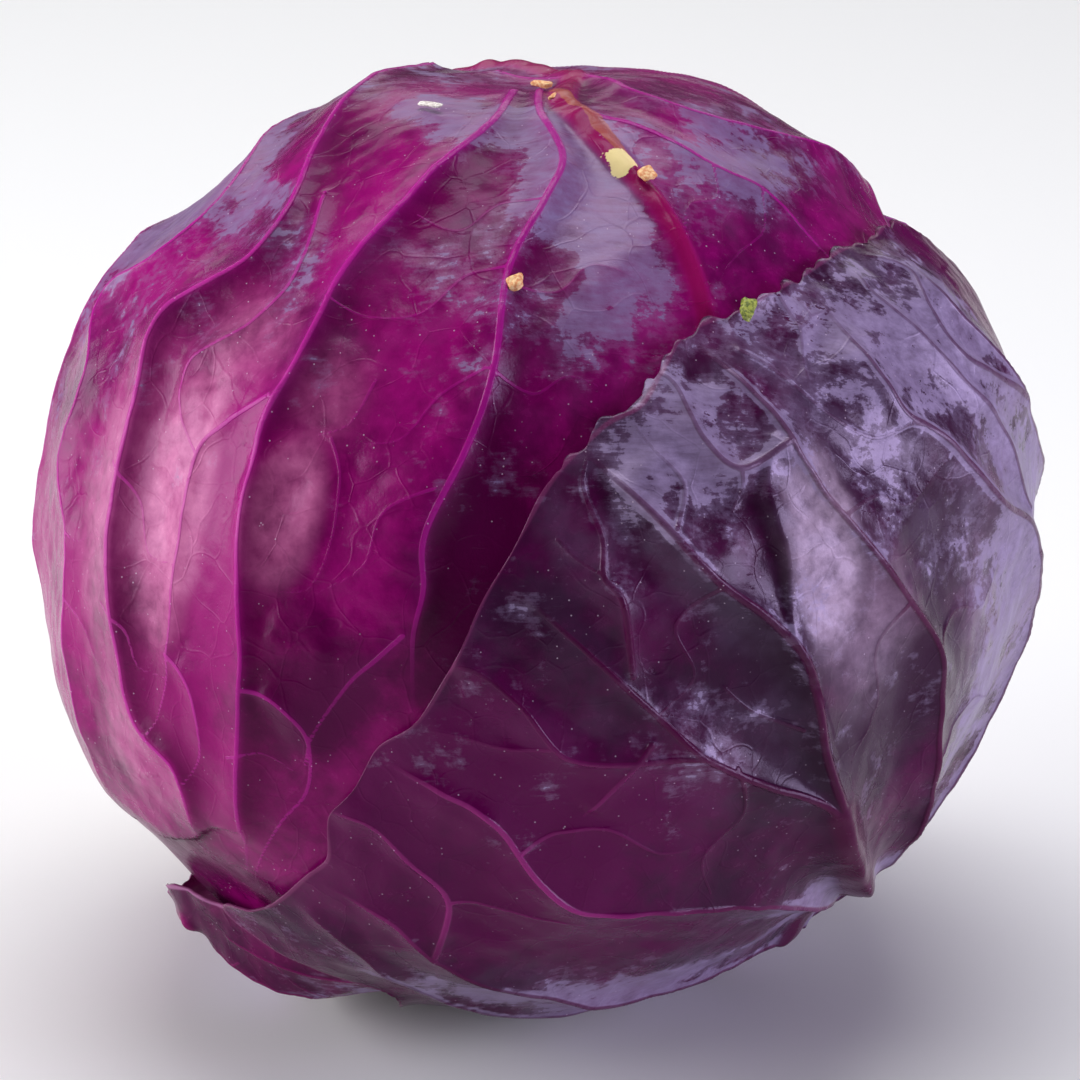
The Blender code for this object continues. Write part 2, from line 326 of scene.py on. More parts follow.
def fan_of_ribs(heading, length, half_width):
    """A whole leaf's ribs: the midrib out from the stem, and side ribs that leave it and curve outwards."""
    ribs = [("midrib", [round_stem(heading, out) for out in np.linspace(11, length * 0.96, 6)])]
    for side in (-1, 1):
        for number, start in enumerate(np.linspace(13, length * 0.62, 6)):
            leave = start + (4 if side > 0 else 0)
            route = [
                round_stem(heading + side * half_width * wide, leave + out * length / 150)
                for wide, out in ((0, 0), (0.25, 14), (0.5, 27), (0.75, 38), (1, 46))
            ]
            ribs.append(("ridge" if number % 2 else "branch", route))
    return ribs


def drawn_ribs(*drawn):
    """Ribs given by their kind and the places that they run through, from foot to tip."""
    return [(kind, globe(*places)) for kind, *places in drawn]


def plain_leaf(name, slot, heading, length, half_width):
    plan = ((30, 0.95), (55, 1), (85, 1), (110, 0.95), (130, 0.8), (143, 0.45))
    stretch = length / 150
    rising = [round_stem(heading - half_width * wide, out * stretch) for out, wide in plan]
    falling = [round_stem(heading + half_width * wide, out * stretch) for out, wide in plan]
    outline = base_arc(heading + half_width, heading - half_width) + rising
    outline += [round_stem(heading, length)] + falling[::-1]
    middle = round_stem(heading, length / 2)
    centre = (math.degrees(math.atan2(middle[0], -middle[1])), math.degrees(math.asin(middle[2])))
    return Leaf(name, slot, centre, outline, fan_of_ribs(heading, length, half_width), ragged=soft_ragged)


def base_arc(first, last):
    return [round_stem(heading, STEM_CLEARANCE) for heading in np.linspace(first, last, 4)]


def soft_ragged(curve):
    return math.radians(0.35) * wander(curve, 16, 5) + math.radians(0.15) * wander(curve, 5, 6)


def torn_ragged(curve):
    """Bitten and frayed along the upper edge, wavy down the front."""
    torn = smooth_step((curve @ direction(40, 50) - 0.76) / 0.1)
    teeth = math.radians(0.55) * wander(curve, 6, 8) + math.radians(0.5) * np.abs(wander(curve, 3, 9))
    return math.radians(0.3) * wander(curve, 15, 7) + torn * teeth


# ---- the right outer leaf

def right_leaf():
    upper_edge = globe((85, 44), (72, 46), (61, 47), (47, 46), (34, 44), (22, 42), (17, 38), (13, 34))
    left_edge = globe((8, 32), (2, 27), (-2, 21), (-6, 14), (-9, 7), (-13, 0), (-18, -4), (-21, -9))
    corner = globe((-24, -13), (-25, -19), (-29, -23), (-36, -29), (-48, -34), (-41, -39), (-33, -45))
    underside = globe((-27, -51), (-36, -60), (-66, -69), (-108, -66), (-128, -54))
    right_side = globe((150, -42), (128, -22), (115, 5), (100, 30))
    outline = upper_edge + left_edge + corner + underside + base_arc(160, 235) + right_side
    to_nose = [round_stem(198, out) for out in (11, 40, 65, 90)]
    midrib = ("midrib", to_nose + globe((62, -41), (50, -33), (44, -27), (37, -16)))
    side_ribs = drawn_ribs(
        ("fold", (60, -40), (44, -27), (37, -16), (33, -8), (30, 3), (26, 9), (19, 15), (13, 22), (9, 26),
         (5, 30)),
        ("ridge", (60, -38), (56, -23), (52, -10), (49, 1), (44, 8), (36, 19), (32, 26), (30, 31), (26, 37),
         (21, 42)),
        ("ridge", (75, -55), (82, -30), (84, -10), (73, 7), (63, 14), (54, 24), (49, 28), (47, 36),
         (46, 46)),
        ("ridge", (100, -50), (106, -25), (104, -5), (87, 12), (78, 23), (70, 36), (72, 43)),
        ("ridge", (40, -24), (35, -15), (26, -10), (18, -5), (11, 2), (5, 8), (-3, 15)),
        ("ridge", (61, -41), (33, -31), (17, -27), (6, -25), (0, -20), (-5, -12), (-11, -8), (-18, -5)),
        ("ridge", (66, -52), (40, -54), (15, -52), (0, -45), (-9, -40), (-15, -33), (-19, -27), (-28, -23)),
        ("crease", (30, 3), (28, 8), (28, 16), (27, 23), (29, 28), (31, 29)),
        ("branch", (73, 10), (70, 19), (64, 27), (60, 34), (57, 41), (59, 46)),
        ("branch", (80, 20), (67, 29), (65, 36), (68, 41), (62, 46)),
        ("branch", (31, 28), (24, 26), (20, 30), (18, 36), (15, 38)),
        ("branch", (10, 5), (9, 13), (7, 16), (7, 20), (5, 26), (7, 31)),
        ("branch", (18, -5), (11, -5), (3, -4), (-2, 2), (-7, 6), (-10, 6)),
        ("branch", (12, -3), (9, -7), (5, -12)),
        ("branch", (-14, -34), (-11, -24), (-15, -18), (-19, -13), (-24, -12)),
        ("branch", (30, -57), (0, -56), (-15, -50), (-22, -42), (-26, -33), (-32, -27)),
        ("branch", (95, -35), (120, -25), (130, -10)),
        ("branch", (88, -48), (118, -42), (140, -30)),
        ("thread", (15, 20), (17, 25), (14, 29), (11, 33)),
        ("thread", (24, 26), (24, 24), (22, 21)),
        ("thread", (29, 39), (33, 36), (38, 30), (44, 26), (50, 26), (54, 24)),
        ("thread", (39, 44), (40, 40), (38, 36), (37, 33)),
        ("thread", (40, 40), (43, 41), (42, 44)),
        ("thread", (43, 41), (46, 41)),
        ("thread", (2, 20), (4, 18), (7, 16)),
        ("thread", (1, -3), (-4, -3), (-8, -2), (-13, -1)),
        ("thread", (-11, -24), (-7, -25), (-1, -27), (6, -29)),
        ("thread", (22, -7), (24, -14), (20, -20), (22, -26)),
        ("thread", (49, 1), (54, 4), (60, 3), (66, 8)),
        ("thread", (44, 8), (40, 3), (41, -4), (37, -10)),
        ("thread", (56, -15), (62, -10), (70, -12), (80, -8)),
        ("thread", (36, 19), (42, 20), (47, 18), (55, 21)),
        ("thread", (20, 14), (15, 10), (17, 4), (12, 0)),
        ("thread", (30, -4), (24, -1), (20, 3)),
        ("thread", (-2, -16), (2, -14), (8, -14), (14, -18), (20, -18)),
    )
    return Leaf("right_leaf", "violet_outer_leaf", (32, -38), outline, [midrib] + side_ribs,
                FINE_SHELL, torn_ragged, 1.9)


# ---- the left outer leaf

def left_leaf():
    under_right_leaf = globe((50, 36), (26, 34), (8, 22), (-2, 5), (-8, -10), (-16, -22), (-28, -32))
    lower_edge = globe((-46, -40), (-66, -38), (-80, -24), (-95, -10), (-107, 6), (-118, -3))
    top_edge = globe((-167, 11), (176, 38), (132, 50), (108, 46), (80, 38))
    outline = under_right_leaf + lower_edge + base_arc(50, -30) + top_edge
    over_the_top = [round_stem(7, 11), round_stem(4, 32)]
    over_the_top += globe((-149, 16), (-150, 34), (-154, 51), (-162, 65), (180, 76), (140, 84))
    midrib = ("midrib", over_the_top + globe((35, 85), (13, 77), (19, 68), (25, 58), (27, 48), (26, 40)))
    side_ribs = drawn_ribs(
        ("fold", (0, 86), (0, 76), (6, 66), (1, 59), (-5, 50), (-6, 38), (-9, 29), (-13, 20), (-13, 14),
         (-14, 8), (-14, -3)),
        ("fold", (-30, 84), (-18, 72), (-26, 59), (-32, 47), (-33, 36), (-35, 27), (-34, 12), (-33, 2),
         (-35, -10), (-37, -19), (-40, -26)),
        ("fold", (-140, 70), (-95, 70), (-68, 63), (-53, 54), (-52, 46), (-59, 36), (-56, 26), (-55, 14),
         (-52, 2), (-50, -7), (-44, -12), (-45, -20), (-49, -28)),
        ("ridge", (-146, 50), (-110, 56), (-77, 51), (-76, 40), (-82, 33), (-73, 26), (-73, 16), (-66, 8),
         (-66, -5), (-65, -17), (-68, -28)),
        ("ridge", (-149, 28), (-120, 36), (-98, 34), (-90, 20), (-85, 5), (-82, -10)),
        ("branch", (-150, 8), (-128, 16), (-108, 14), (-98, 2)),
        ("ridge", (-150, 80), (100, 84), (52, 77), (62, 69), (85, 60), (100, 52), (104, 46)),
        ("ridge", (18, 74), (32, 69), (44, 62), (53, 57), (59, 49), (60, 43)),
        ("branch", (-155, 62), (165, 68), (130, 62), (118, 52)),
        ("branch", (-152, 40), (178, 48), (150, 48)),
        ("branch", (-15, 9), (-18, 6), (-21, 3), (-25, -3), (-27, -8)),
        ("branch", (-33, 1), (-29, 0), (-26, -4), (-27, -11), (-31, -16), (-37, -24), (-41, -30)),
        ("branch", (-35, 32), (-41, 28), (-44, 24), (-44, 13), (-44, 2), (-46, -5), (-49, -10)),
        ("branch", (-44, 2), (-41, -1), (-40, -8), (-43, -13)),
        ("branch", (-49, 57), (-42, 47), (-45, 39), (-51, 33), (-49, 28), (-44, 24)),
        ("thread", (-74, 15), (-70, 11), (-64, 9), (-58, 13)),
        ("thread", (-26, 29), (-24, 25), (-24, 18), (-26, 13), (-30, 12)),
        ("thread", (-22, 36), (-24, 31), (-28, 29)),
        ("thread", (52, 57), (47, 53), (38, 51), (33, 49)),
        ("thread", (44, 62), (40, 58), (33, 58), (29, 55)),
        ("thread", (-7, 38), (-13, 35), (-17, 30), (-22, 29)),
        ("thread", (-12, 25), (-18, 22), (-20, 16), (-26, 12)),
        ("thread", (-5, 50), (-12, 49), (-18, 44), (-26, 43), (-33, 44)),
        ("thread", (1, 59), (-8, 59), (-15, 55), (-24, 56)),
        ("thread", (-57, 20), (-52, 17), (-49, 12), (-44, 12)),
        ("thread", (-55, 5), (-51, 3), (-49, -1), (-45, -1)),
        ("thread", (-36, -8), (-32, -7), (-28, -9)),
        ("thread", (-66, 2), (-61, 0), (-58, -3), (-54, -3)),
        ("thread", (-7, 38), (-1, 36), (4, 38), (10, 36)),
        ("thread", (-5, 48), (3, 48), (9, 51), (17, 49)),
    )
    return Leaf("left_leaf", "magenta_outer_leaf", (-60, 55), outline, [midrib] + side_ribs,
                FINE_SHELL, soft_ragged)


# ---- the leaf whose tip stands off at the lower left

def lower_leaf():
    free_edge = globe((-72, -40), (-66, -37), (-59, -36), (-52, -37), (-44, -37), (-36, -41), (-22, -50),
                      (-5, -60), (30, -74), (150, -74), (170, -58))
    upper_edge = globe((-125, -40), (-105, -44), (-88, -45), (-78, -43))
    outline = free_edge + base_arc(195, 85) + upper_edge
    ribs = [("midrib", [round_stem(125, out) for out in (11, 25, 40, 55, 66)])]
    for number, heading in enumerate((98, 108, 117, 134, 144, 154, 164, 174)):
        route = [
            round_stem(125 + (heading - 125) * wide + 2 * math.sin(number + out), out)
            for wide, out in ((0.3, 14), (0.8, 28), (1, 42), (0.95, 58), (0.85, 72))
        ]
        ribs.append(("branch" if number % 2 else "ridge", route))
    ribs += drawn_ribs(
        ("ridge", (-20, -62), (-38, -54), (-52, -47), (-64, -43)),
        ("branch", (-24, -66), (-42, -60), (-58, -53), (-72, -47)),
        ("branch", (-34, -49), (-46, -44), (-56, -41)),
        ("thread", (-38, -54), (-44, -49), (-46, -44)),
        ("thread", (-52, -47), (-58, -49), (-60, -53)),
    )
    return Leaf("lower_leaf", "waxy_outer_leaf", (-105, -58), outline, ribs, (180, 700), soft_ragged)


def outer_to_inner():
    return [
        right_leaf(),
        lower_leaf(),
        left_leaf(),
        plain_leaf("back_left_wrapper", "back_leaf", 62, 140, 50),
        plain_leaf("back_right_wrapper", "back_leaf", 275, 145, 55),
        plain_leaf("back_top_wrapper", "back_leaf", 330, 150, 50),
        plain_leaf("under_wrapper", "inner_leaf", 155, 140, 52),
        plain_leaf("tip_wrapper", "inner_leaf", 25, 168, 55),
    ]


REPLACED = {
    "right_leaf": "right_outer_leaf",
    "lower_leaf": "lower_left_leaf",
    "left_leaf": "left_outer_leaf",
    "back_left_wrapper": "back_left_leaf",
    "back_right_wrapper": "back_right_leaf",
    "back_top_wrapper": "back_top_leaf",
    "under_wrapper": "under_leaf",
    "tip_wrapper": "tip_leaf",
}


def right_leaf_shape(dirs, inside_edge):
    """Broad flats and swells of the right leaf, and its edge, which stands off and curls outwards."""
    rise = swell(dirs, (20, 5), 14, -0.8, 10) + swell(dirs, (40, 22), 10, 0.6, 14)
    rise += swell(dirs, (12, -18), 12, 0.8, 8) + swell(dirs, (60, -8), 12, 0.7, 18)
    rise += (swell(dirs, (88, 34), 26, 1.6, 16) - swell(dirs, (60, -41), 10, 3.0, 7)
             - swell(dirs, (40, -56), 14, 1.4, 7))
    curl = np.exp(-inside_edge / 3.0)
    return rise + 0.9 * curl * (1 + 0.6 * wander(dirs, 18, 21))


def left_leaf_shape(dirs, inside_edge):
    """The puffed cells between the left leaf's ribs, the dip at its front and the torn flap low down."""
    rise = swell(dirs, (-30, 20.5), 4.8, 1.7, 8.5, -6, 3) + swell(dirs, (-28, 35), 4, 0.5, 5, 0, 3)
    rise += swell(dirs, (-27, 4), 4, 0.8, 8, 0, 2.5) + swell(dirs, (-48, 26), 3.4, 0.8, 6, 0, 2.5)
    rise += swell(dirs, (-8, 14), 6, -1.6, 14) + swell(dirs, (-22, 40), 8, 0.7, 12)
    rise += swell(dirs, (-60, 20), 9, 0.6, 14) + swell(dirs, (-25, -14), 5, 0.7, 9)
    rise += swell(dirs, (126, 60), 18, 1.3, 14) + swell(dirs, (106, 42), 8, 1.5)
    rise += (swell(dirs, (-88, -20), 26, 1.5, 16) - swell(dirs, (-130, 83), 14, 1.6)
             - swell(dirs, (-40, 84), 8, 0.8))
    rise += swell(dirs, (55, 74), 24, 1.2, 10) - swell(dirs, (-142, 66), 10, 1.9)
    rise += swell(dirs, (-176, 70), 9, 1.3)
    return rise - 2.2 * torn_flap(dirs)[0]


def torn_flap(dirs):
    """Where the leaf lies under the torn flap's lower edge, and the shade close under that edge."""
    tear = globe((-76, -22), (-70, -25), (-66, -27), (-62, -26), (-58, -27), (-52, -25), (-47, -23),
                 (-43, -20), (-41, -19), (-37, -18), (-35, -16), (-31, -14))
    away, left, place = nearest_on(smooth_curve(tear, False, 8), dirs, False)
    away = away * DEPTH_RADIUS
    near_tear = dirs @ direction(-50, -25) > 0.7
    under = swell(dirs, (-50, -30), 17, 1, 13, 0, 3) * near_tear * np.where(left, 0, 1)
    return smooth_step(away / 0.5) * under, 1.3 * np.exp(-away / 2.2) * under


def lower_leaf_shape(dirs, inside_edge):
    """The tip of the leaf and the edge below it stand clear of the head, and the rest lies close."""
    rise = swell(dirs, (-68, -39), 6, 1.6, 4) + swell(dirs, (-60, -46), 16, 2.4, 9)
    return rise + 0.5 * np.exp(-inside_edge / 3) * wander(dirs, 9, 31)


def plain_shape(dirs, inside_edge):
    """A leaf that lies close, its edge a little lifted."""
    return 0.5 * np.exp(-inside_edge / 4)


UNEVEN = {"right_leaf": 1.6, "lower_leaf": 2}  # how much more this leaf is dimpled than the others
SHAPES = {"right_leaf": right_leaf_shape, "left_leaf": left_leaf_shape, "lower_leaf": lower_leaf_shape}

# Where the wax bloom lies thick (above 0) or is rubbed off (below 0), as (place, half width, half height,
# amount), the first three in degrees. A turn and a sharpness may follow.
BLOOM = {
    "right_leaf": (
        ((45, 38), 28, 11, 0.42), ((64, 22), 16, 20, 0.28), ((16, 31), 9, 8, 0.3), ((26, 18), 18, 12, 0.16),
        ((66, -8), 9, 18, 0.35), ((80, 0), 14, 34, 0.5), ((48, -34), 14, 4, 0.7), ((20, -50), 36, 4, 0.4),
        ((8, 22), 10, 8, 0.15), ((110, 0), 20, 40, 0.45), ((60, -65), 50, 15, 0.4),
        ((87, 30), 7, 15, -0.6), ((0, -25), 26, 16, -0.25), ((20, -8), 20, 14, 0.1),
    ),
    "left_leaf": (
        ((-26, 73), 12, 6, 0.6), ((54, 59), 10, 5, 0.35), ((9, 60), 6, 14, 0.5), ((15, 50), 6, 10, 0.4),
        ((45, 68), 30, 8, 0.4), ((-56, 63), 13, 6, -0.9), ((45, 54), 12, 6, 0.2), ((-88, 46), 12, 14, 0.5),
        ((0, 42), 14, 8, 0.2), ((-150, 50), 60, 40, 0.42), ((-30, 48), 12, 10, 0.2),
        ((-60, 52), 10, 6, 0.2), ((-45, -5), 30, 22, -0.3),
    ),
    "lower_leaf": (((-50, -58), 40, 9, 0.3), ((-120, -50), 30, 25, 0.45), ((-62, -38), 12, 7, -0.9)),
}
EVEN_BLOOM = (((-135, 15), 120, 90, 0.36),)

# Where the flesh shows its brighter red (above 0) or its darker violet, in the same form; the left leaf's
# darkest patches, beside its first two folds, are painted shade
FLUSH_AND_SHADE = {
    "right_leaf": (
        ((-5, -18), 22, 16, 0.9), ((87, 30), 9, 17, 1.0), ((35, -35), 30, 7, 0.4), ((40, 20), 30, 40, -0.3),
        ((70, 0), 30, 60, -0.3),
    ),
    "left_leaf": (
        # the patches at (-7, 14) and (-27, 0) are painted shade beside the first two folds
        ((-50, 15), 22, 40, 0.4), ((-7, 14), 7, 16, -1.0), ((-27, 0), 7, 14, -0.6),
        ((-85, -5), 20, 30, 0.3), ((-60, -30), 20, 8, -0.5), ((70, 55), 20, 8, -0.2),
    ),
}

# Painted sheen: where the skin is made a paler pink, as if lit, on the flats between the ribs and on a facet
# of the right leaf, in the same form
PAINTED_SHEEN = {
    "left_leaf": (
        ((-56, 17), 7, 15, 0.45), ((-46, 18), 5, 16, 0.75, 0, 3), ((-30, 20.5), 4.4, 8, 0.5, -6, 4),
        ((-44, 38), 6, 6, 0.4), ((-28, 34), 4, 5, 0.3), ((-54, -12), 5, 8, 0.3),
    ),
    "right_leaf": (((33, 16), 4.5, 11, 1.0, 0, 3), ((39, 6), 6, 9, 0.4), ((62, 4), 8, 16, 0.2)),
}

# The left leaf's midrib where it comes over the crown to the front
MIDRIB_FRONT = ((2, 85), (13, 77), (19, 68), (22, 63), (25, 58), (27, 50))


def healed_cut(dirs):
    """The healed cut on the left leaf's midrib: its cream callus, and the tan scrape above it."""
    midrib = smooth_curve(globe(*MIDRIB_FRONT), False, 8)
    away, left, place = nearest_on(midrib, dirs, False)
    away, along = away * DEPTH_RADIUS, place / (len(midrib) - 1)
    to_left = away * np.where(left, 1, -1)
    callus = np.exp(-(((along - 0.52) / 0.085) ** 4)) * np.exp(-((away / 2.1) ** 4))
    scraped = np.exp(-(((along - 0.26) / 0.25) ** 4)) * np.exp(-(((to_left - 1.5) / 1.2) ** 4))
    return callus, scraped


def swells(dirs, table):
    """The sum of a table's patches at each direction."""
    total = np.zeros(len(dirs))
    for place, wide, tall, amount, *more in table:
        total = total + swell(dirs, place, wide, amount, tall, *more)
    return total


# ---------------------------------------------------------------- meshes

def mesh_from(name, points, quads, tris):
    """A mesh from arrays of points in millimetres, four-cornered faces and three-cornered faces."""
    mesh = bpy.data.meshes.new(name)
    mesh.vertices.add(len(points))
    mesh.vertices.foreach_set("co", (points * MM).astype(np.float32).ravel())
    corners = np.concatenate([quads.ravel(), tris.ravel()]).astype(np.int32)
    mesh.loops.add(len(corners))
    mesh.loops.foreach_set("vertex_index", corners)
    starts = np.concatenate([np.arange(len(quads)) * 4, quads.size + np.arange(len(tris)) * 3])
    mesh.polygons.add(len(quads) + len(tris))
    mesh.polygons.foreach_set("loop_start", starts.astype(np.int32))
    mesh.update(calc_edges=True)
    mesh.validate()
    mesh.shade_smooth()
    return mesh


def add_value(mesh, name, values):
    mesh.attributes.new(name, "FLOAT", "POINT").data.foreach_set("value", values.astype(np.float32))


def neighbours(count):
    """The places round a ring, and the place beside each of them."""
    place = np.arange(count)
    return place, (place + 1) % count


def ring_faces(first, rings, spokes):
    """Faces between rings of points after a middle point, seen from the side that the turns run round."""
    spoke, beside = neighbours(spokes)
    tris = np.stack([np.full(spokes, first), first + 1 + spoke, first + 1 + beside], axis=1)
    near = first + 1 + np.arange(rings - 1)[:, None] * spokes
    far = near + spokes
    quads = np.stack([near + spoke, far + spoke, far + beside, near + beside], axis=-1).reshape(-1, 4)
    return quads, tris


def turned_faces(rings, sides):
    """Faces between rings of points, and caps that close them with the two points after the last ring."""
    side, beside = neighbours(sides)
    first = np.arange(rings - 1)[:, None] * sides
    quads = np.stack([first + side, first + beside, first + sides + beside, first + sides + side], axis=-1)
    last = (rings - 1) * sides
    near_cap = np.stack([np.full(sides, rings * sides), beside, side], axis=1)
    far_cap = np.stack([np.full(sides, rings * sides + 1), last + side, last + beside], axis=1)
    return quads.reshape(-1, 4), np.concatenate([near_cap, far_cap])


def shell_dirs(leaf, steps):
    """The leaf's middle, and rings of directions round it that end on the leaf's edge."""
    steps = steps[:, None]
    even = leaf.edge(leaf.spoke_turns).mean()
    reaches = steps * (even + (leaf.edge(leaf.spoke_turns) - even) * steps)
    rings = spread_from(leaf.centre, reaches, np.broadcast_to(leaf.spoke_turns, reaches.shape))
    return np.concatenate([leaf.centre[None], rings.reshape(-1, 3)])


def leaf_object(leaf, over):
    """A leaf as a thin closed shell, under the leaves over it, with what its skin needs at every point."""
    outside_dirs = shell_dirs(leaf, np.arange(1, leaf.rings + 1) / leaf.rings)
    inside_dirs = shell_dirs(leaf, np.arange(1, INSIDE_RINGS + 1) ** 0.5 / INSIDE_RINGS**0.5)
    dirs = np.concatenate([outside_dirs, inside_dirs])
    outer = np.arange(len(dirs)) < len(outside_dirs)
    covers = [other.cover(dirs) for other in over]
    free = np.minimum.reduce([1 - cover for cover in covers]) if covers else np.ones(len(dirs))
    depth = (LEAF_THICKNESS + LEAF_GAP) * sum(covers, np.zeros(len(dirs))) + UNDER_DIP * (1 - free)
    inside_edge = np.maximum(-leaf.beyond_edge(dirs), 0) * DEPTH_RADIUS
    relief, widths_off, strength, on_midrib, painted_shade = rib_relief(leaf, dirs)
    relief += SHAPES.get(leaf.name, plain_shape)(dirs, inside_edge)
    if leaf.name == "left_leaf":
        # painted shade close under the torn flap's lower edge
        painted_shade = np.maximum(painted_shade, torn_flap(dirs)[1])
    relief += 0.3 * wander(dirs, 26, 11)
    relief += UNEVEN.get(leaf.name, 1) * (0.1 * wander(dirs, 10, 12) + 0.05 * wander(dirs, 4.5, 13))
    dip = np.maximum(-relief - DEEPEST_DIP / 2, 0)
    relief = np.maximum(relief, -DEEPEST_DIP / 2) - DEEPEST_DIP / 2 * np.tanh(dip / (DEEPEST_DIP / 2))
    relief = relief * (COVERED_RELIEF + (1 - COVERED_RELIEF) * free)
    radius = head_radius(dirs) - depth + relief
    thickness = LEAF_THICKNESS * (0.6 + 0.4 * smooth_step(inside_edge / 6))
    thickness += np.maximum(relief + DEEPEST_DIP, 0) * smooth_step(inside_edge / 9)
    radius = pressed_flat(radius, dirs) - np.where(outer, 0, thickness)
    points = CENTRE + dirs * radius[:, None]
    outer_quads, outer_tris = ring_faces(0, leaf.rings, leaf.spokes)
    inner_quads, inner_tris = ring_faces(len(outside_dirs), INSIDE_RINGS, leaf.spokes)
    spoke, beside = neighbours(leaf.spokes)
    out_rim, in_rim = len(outside_dirs) - leaf.spokes, len(dirs) - leaf.spokes
    rim = np.stack([out_rim + spoke, in_rim + spoke, in_rim + beside, out_rim + beside], axis=1)
    quads = np.concatenate([outer_quads, inner_quads[:, ::-1], rim])
    tris = np.concatenate([outer_tris, inner_tris[:, ::-1]])
    mesh = mesh_from(leaf.name, points, quads, tris)
    from_stem = np.degrees(np.arccos(np.clip(dirs @ direction(*STEM_DIRECTION), -1, 1)))
    callus, scraped = healed_cut(dirs) if leaf.name == "left_leaf" else np.zeros((2, len(dirs)))
    for key, values in {
        "rib_widths": np.where(outer, widths_off, WELL_CLEAR),
        "rib_strength": strength,
        "painted_shade": painted_shade,
        "midrib": np.where(outer, on_midrib, 0),
        "bloom": np.where(outer, swells(dirs, BLOOM.get(leaf.name, EVEN_BLOOM)), 0),
        "flush_and_shade": swells(dirs, FLUSH_AND_SHADE.get(leaf.name, ())),
        "pale": np.where(outer, swells(dirs, PAINTED_SHEEN.get(leaf.name, ())), 0),
        "pale_base": np.exp(-np.maximum(from_stem - STEM_CLEARANCE, 0) / 11),
        "scar": callus,
        "scrape": scraped,
        "from_edge": np.where(outer, inside_edge, 0),
        "inner_face": np.where(outer, 0, 1),
    }.items():
        add_value(mesh, key, values)
    return add_piece(leaf.name, mesh, REPLACED[leaf.name])


def add_piece(name, mesh, cad_node):
    """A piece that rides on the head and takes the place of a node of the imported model."""
    obj = bpy.data.objects.new(name, mesh)
    bpy.context.scene.collection.objects.link(obj)
    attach(obj, "root")
    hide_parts(cad_node)
    return obj


# ---------------------------------------------------------------- materials

def linear(hex_colour):
    """A colour as light, from its sRGB hex value."""
    channels = [int(hex_colour[at:at + 2], 16) / 255 for at in (1, 3, 5)]
    return tuple(c / 12.92 if c <= 0.04045 else ((c + 0.055) / 1.055) ** 2.4 for c in channels) + (1,)


def node(tree, kind, inputs=None, **settings):
    """Adds a node, sets it up and fills its inputs: a socket makes a link, and anything else is a value."""
    made = tree.nodes.new("ShaderNode" + kind)
    for key, value in settings.items():
        setattr(made, key, value)
    for key, value in (inputs or {}).items():
        if isinstance(value, bpy.types.NodeSocket):
            tree.links.new(value, made.inputs[key])
        else:
            made.inputs[key].default_value = value
    return made


def start_material(name):
    material = bpy.data.materials.new(name)
    material.use_nodes = True
    tree = material.node_tree
    return material, tree, tree.nodes["Principled BSDF"]


def between(tree, amount, low, high):
    """Mixes two colours, or sockets, by an amount."""
    return node(tree, "Mix", {"Factor": amount, "A": low, "B": high}, data_type="RGBA").outputs["Result"]


def maths(tree, operation, *values):
    """Works out one or two numbers or sockets."""
    made = tree.nodes.new("ShaderNodeMath")
    made.operation = operation
    for place, value in enumerate(values):
        if isinstance(value, bpy.types.NodeSocket):
            tree.links.new(value, made.inputs[place])
        else:
            made.inputs[place].default_value = value
    return made.outputs[0]


def ramp(tree, value, low, high):
    """0 below low, 1 above high, and a smooth rise between them."""
    return node(tree, "MapRange", {"Value": value, "From Min": low, "From Max": high},
                interpolation_type="SMOOTHSTEP").outputs["Result"]


